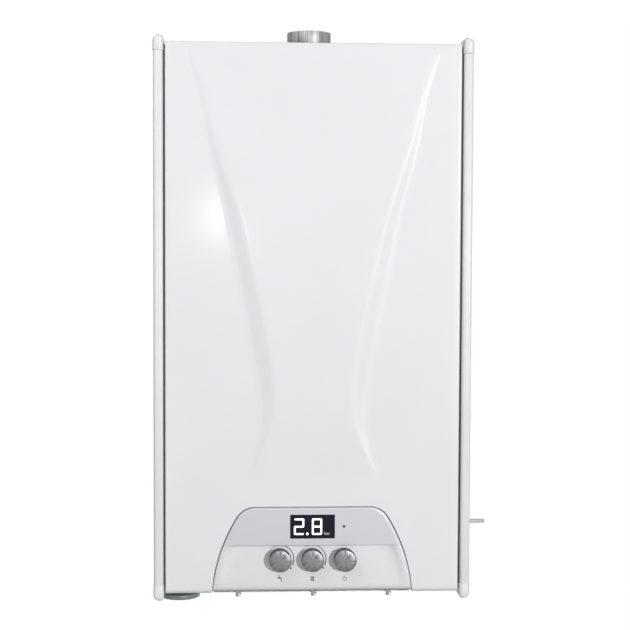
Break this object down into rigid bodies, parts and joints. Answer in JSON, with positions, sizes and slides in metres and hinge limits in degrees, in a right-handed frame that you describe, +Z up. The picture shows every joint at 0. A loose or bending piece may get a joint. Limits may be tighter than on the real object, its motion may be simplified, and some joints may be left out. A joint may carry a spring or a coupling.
{
  "type": "wall-hung gas boiler",
  "caption": "Wall-hung gas boiler with a white front panel pressed in a raised hourglass, side rails, arched control panel with knobs, flue spigot and its working parts inside.",
  "frame": {"origin": "middle of the wall bracket's bolt line, on the wall plane", "axes": "+Z up, -Y out of the wall towards the user, +X to the right seen from the front"},
  "size_m": [0.4743, 0.3095, 0.773],
  "materials": {
    "white_paint": "smooth white gloss enamel",
    "white_plastic": "white moulded, satin gloss",
    "zinc_steel": "zinc plated sheet",
    "black_rubber": "matt black",
    "silver_plastic": "silver-lilac paint on plastic",
    "grey_plastic": "moulded grey",
    "black_plastic": "moulded black",
    "red_plastic": "moulded red",
    "dark_glass": "dark clear window",
    "lamp_plastic": "dark lens",
    "green_board": "printed board",
    "cast_aluminium": "cast, lightly blasted",
    "stainless": "rolled stainless",
    "ceramic_white": "glazed insulator",
    "copper_pipe": "drawn copper",
    "brass_fitting": "machined brass",
    "red_paint": "red enamel",
    "pump_iron": "black painted casting",
    "gauge_case": "grey case with dark back",
    "clear_lens": "clear",
    "knob_metal": "turned face",
    "lead_sheath": "grey sheath"
  },
  "bodies": {
    "casing": {"wall_bracket": "zinc_steel", "rear_panel": "zinc_steel", "wall_spacers": "black_rubber", "side_panel_left": "white_paint", "side_panel_right": "white_paint", "top_plate": "white_paint", "bottom_plate": "zinc_steel", "rail_left": "white_plastic", "rail_right": "white_plastic", "rail_caps": "white_plastic", "edge_seals": "black_rubber", "hinge_pins": "zinc_steel", "flue_adapter": "cast_aluminium", "flue_gasket": "black_rubber", "flue_screws": "zinc_steel", "flue_spigot": "cast_aluminium", "heat_exchanger_drum": "stainless", "drum_standoffs": "zinc_steel", "burner_door": "cast_aluminium", "burner_tube": "stainless", "ignition_electrode": "ceramic_white", "burner_inlet_elbow": "cast_aluminium", "fan_housing": "cast_aluminium", "fan_motor": "black_plastic", "gas_mixer": "cast_aluminium", "gas_valve": "cast_aluminium", "gas_pipe": "copper_pipe", "gas_inlet_pipe": "brass_fitting", "expansion_vessel": "red_paint", "heating_tails": "brass_fitting", "return_manifold": "brass_fitting", "diverter_block": "brass_fitting", "diverter_actuator": "black_plastic", "plate_heat_exchanger": "stainless", "water_pipes": "brass_fitting", "pump_housing": "pump_iron", "pump_motor": "black_plastic", "flow_pipe": "copper_pipe", "return_pipe": "copper_pipe", "safety_valve": "brass_fitting", "condensate_trap": "grey_plastic", "pressure_gauge": "gauge_case", "gauge_lens": "clear_lens", "lead_gland": "grey_plastic", "mains_lead": "lead_sheath", "mains_lead_coil": "lead_sheath", "lead_clip": "white_plastic"},
    "front_panel": {"front_panel": "white_paint"},
    "control_panel": {"control_fascia": "silver_plastic", "control_box_cover": "grey_plastic", "display_window": "dark_glass", "status_lamp": "lamp_plastic", "circuit_board": "green_board"},
    "knob_hot_water": {"knob_hot_water": "knob_metal"},
    "knob_heating": {"knob_heating": "knob_metal"},
    "knob_mode": {"knob_mode": "knob_metal"},
    "fan_wheel": {"fan_wheel": "grey_plastic"},
    "pump_wheel": {"pump_wheel": "grey_plastic"},
    "gauge_pointer": {"gauge_pointer": "black_plastic"},
    "safety_knob": {"safety_knob": "red_plastic"}
  },
  "joints": [
    {"name": "front_panel_slide", "type": "slide", "parent": "casing", "child": "front_panel", "axis": [0, -1, 0], "range_m": [0, 0.2]},
    {"name": "control_panel_tilt", "type": "hinge", "parent": "casing", "child": "control_panel", "pos_m": [0, -0.293, -0.662], "axis": [1, 0, 0], "range_deg": [0, 60]},
    {"name": "hot_water_knob_turn", "type": "hinge", "parent": "control_panel", "child": "knob_hot_water", "pos_m": [-0.042, -0.296, -0.615], "axis": [0, 1, 0], "range_deg": [-135, 135]},
    {"name": "heating_knob_turn", "type": "hinge", "parent": "control_panel", "child": "knob_heating", "pos_m": [0, -0.296, -0.615], "axis": [0, 1, 0], "range_deg": [-135, 135]},
    {"name": "mode_knob_turn", "type": "hinge", "parent": "control_panel", "child": "knob_mode", "pos_m": [0.042, -0.296, -0.615], "axis": [0, 1, 0], "range_deg": [-60, 60]},
    {"name": "fan_spin", "type": "hinge", "parent": "casing", "child": "fan_wheel", "pos_m": [-0.118, -0.231, -0.04], "axis": [0, 1, 0], "continuous": true},
    {"name": "pump_spin", "type": "hinge", "parent": "casing", "child": "pump_wheel", "pos_m": [0.13, -0.15, -0.47], "axis": [0, 1, 0], "continuous": true},
    {"name": "gauge_needle", "type": "hinge", "parent": "casing", "child": "gauge_pointer", "pos_m": [-0.173, -0.25, -0.67], "axis": [0, 0, 1], "range_deg": [-135, 135]},
    {"name": "safety_knob_turn", "type": "hinge", "parent": "casing", "child": "safety_knob", "pos_m": [0.13, -0.225, -0.55], "axis": [0, 1, 0], "range_deg": [0, 90]}
  ]
}
